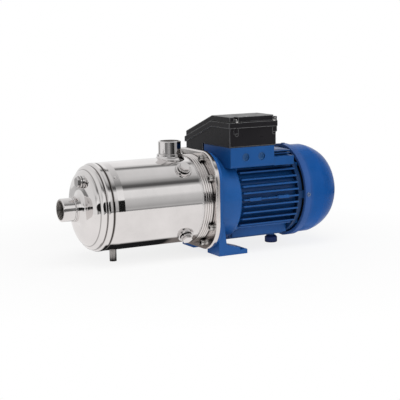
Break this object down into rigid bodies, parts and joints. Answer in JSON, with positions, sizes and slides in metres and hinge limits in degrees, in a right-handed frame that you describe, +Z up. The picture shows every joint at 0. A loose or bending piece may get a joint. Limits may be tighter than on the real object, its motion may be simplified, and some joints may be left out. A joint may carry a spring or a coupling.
{
  "type": "horizontal centrifugal pump",
  "caption": "Horizontal multistage centrifugal pump: polished steel barrel with axial suction and top discharge, finned electric motor and terminal box.",
  "frame": {"origin": "centre of the suction mouth, on the shaft axis", "axes": "+X along the shaft towards the motor, +Z up, -Y towards the side with the fill and drain plugs"},
  "size_m": [0.49, 0.162, 0.2257],
  "materials": {
    "polished_steel": "mirror-polished stainless steel",
    "brushed_stainless": "pressed stainless sheet",
    "bolt_steel": "plain stainless fastener",
    "blue_paint": "semi-gloss blue paint on cast aluminium",
    "cover_blue": "moulded blue plastic",
    "black_plastic": "fine-grained black plastic",
    "blue_plastic": "moulded blue plastic",
    "black_rubber": "black moulded rubber",
    "dark_blue_rubber": "dark blue rubber",
    "seal_ceramic": "lapped ceramic ring",
    "seal_carbon": "lapped carbon ring",
    "shaft_steel": "ground steel",
    "bearing_steel": "ground bearing steel",
    "lamination_steel": "stacked laminations",
    "copper_winding": "varnished copper wire",
    "cast_aluminium": "cast aluminium",
    "terminal_brass": "brass studs",
    "white_plastic": "moulded plastic can",
    "fan_plastic": "moulded plastic"
  },
  "bodies": {
    "casing": {"suction_socket": "polished_steel", "suction_head": "polished_steel", "barrel_shell": "polished_steel", "discharge_socket": "polished_steel", "front_support_leg": "polished_steel", "rear_flange": "polished_steel", "casing_bosses": "polished_steel", "casing_screws": "bolt_steel", "inlet_plate": "brushed_stainless", "discharge_cage": "brushed_stainless", "seal_plate": "brushed_stainless", "casing_o_ring": "black_rubber", "seal_seat": "seal_ceramic", "stage_casing_1": "brushed_stainless", "stage_casing_2": "brushed_stainless", "stage_casing_3": "brushed_stainless", "stage_casing_4": "brushed_stainless", "motor_bracket": "blue_paint", "stator_housing": "blue_paint", "stator_core": "lamination_steel", "stator_windings": "copper_winding", "rear_endshield": "blue_paint", "motor_tie_bolts": "bolt_steel", "fan_cover": "cover_blue", "fan_cover_screws": "cover_blue", "rear_rest": "dark_blue_rubber", "cable_entry_plugs": "blue_plastic", "terminal_box_base": "black_plastic", "terminal_box_lid": "black_plastic", "lid_gasket": "black_rubber", "seat_gasket": "black_rubber", "lid_screws": "bolt_steel", "terminal_board": "black_plastic", "terminal_studs": "terminal_brass", "run_capacitor": "white_plastic", "front_bearing_outer_ring": "bearing_steel", "rear_bearing_outer_ring": "bearing_steel"},
    "rotor": {"pump_shaft": "shaft_steel", "impeller_nut": "bolt_steel", "impeller_spacers": "brushed_stainless", "impeller_1": "brushed_stainless", "impeller_2": "brushed_stainless", "impeller_3": "brushed_stainless", "impeller_4": "brushed_stainless", "seal_face": "seal_carbon", "seal_bellows": "black_rubber", "shaft_slinger": "black_rubber", "rotor_core": "lamination_steel", "rotor_end_rings": "cast_aluminium", "front_bearing_inner_ring": "bearing_steel", "rear_bearing_inner_ring": "bearing_steel", "bearing_balls": "bearing_steel", "cooling_fan": "fan_plastic", "fan_clip": "bolt_steel"},
    "fill_ring": {"fill_plug_ring": "black_rubber"},
    "fill_plug": {"fill_plug": "polished_steel"},
    "drain_ring": {"drain_plug_ring": "black_rubber"},
    "drain_plug": {"drain_plug": "polished_steel"},
    "vent_ring": {"vent_plug_ring": "black_rubber"},
    "vent_plug": {"vent_plug": "polished_steel"}
  },
  "joints": [
    {"name": "rotor_spin", "type": "hinge", "parent": "casing", "child": "rotor", "pos_m": [0.3, 0, 0], "axis": [1, 0, 0], "continuous": true},
    {"name": "fill_plug_lift", "type": "slide", "parent": "casing", "child": "fill_ring", "axis": [0, -0.6561, 0.7547], "range_m": [0, 0.00802]},
    {"name": "fill_plug_turn", "type": "hinge", "parent": "fill_ring", "child": "fill_plug", "pos_m": [0.1935, -0.04874, 0.05607], "axis": [0, -0.6561, 0.7547], "range_deg": [0, 2162]},
    {"name": "drain_plug_lift", "type": "slide", "parent": "casing", "child": "drain_ring", "axis": [0, -0.7071, -0.7071], "range_m": [0, 0.00802]},
    {"name": "drain_plug_turn", "type": "hinge", "parent": "drain_ring", "child": "drain_plug", "pos_m": [0.1935, -0.05254, -0.05254], "axis": [0, -0.7071, -0.7071], "range_deg": [0, 2162]},
    {"name": "vent_plug_lift", "type": "slide", "parent": "casing", "child": "vent_ring", "axis": [-1, 0, 0], "range_m": [0, 0.00802]},
    {"name": "vent_plug_turn", "type": "hinge", "parent": "vent_ring", "child": "vent_plug", "pos_m": [0.0321, -0.01003, 0.04346], "axis": [-1, 0, 0], "range_deg": [0, 2162]}
  ],
  "couplings": [
    {"joint": "fill_plug_turn", "follows": "fill_plug_lift", "rad_per_m": 4699.5},
    {"joint": "drain_plug_turn", "follows": "drain_plug_lift", "rad_per_m": 4699.5},
    {"joint": "vent_plug_turn", "follows": "vent_plug_lift", "rad_per_m": 4699.5}
  ]
}
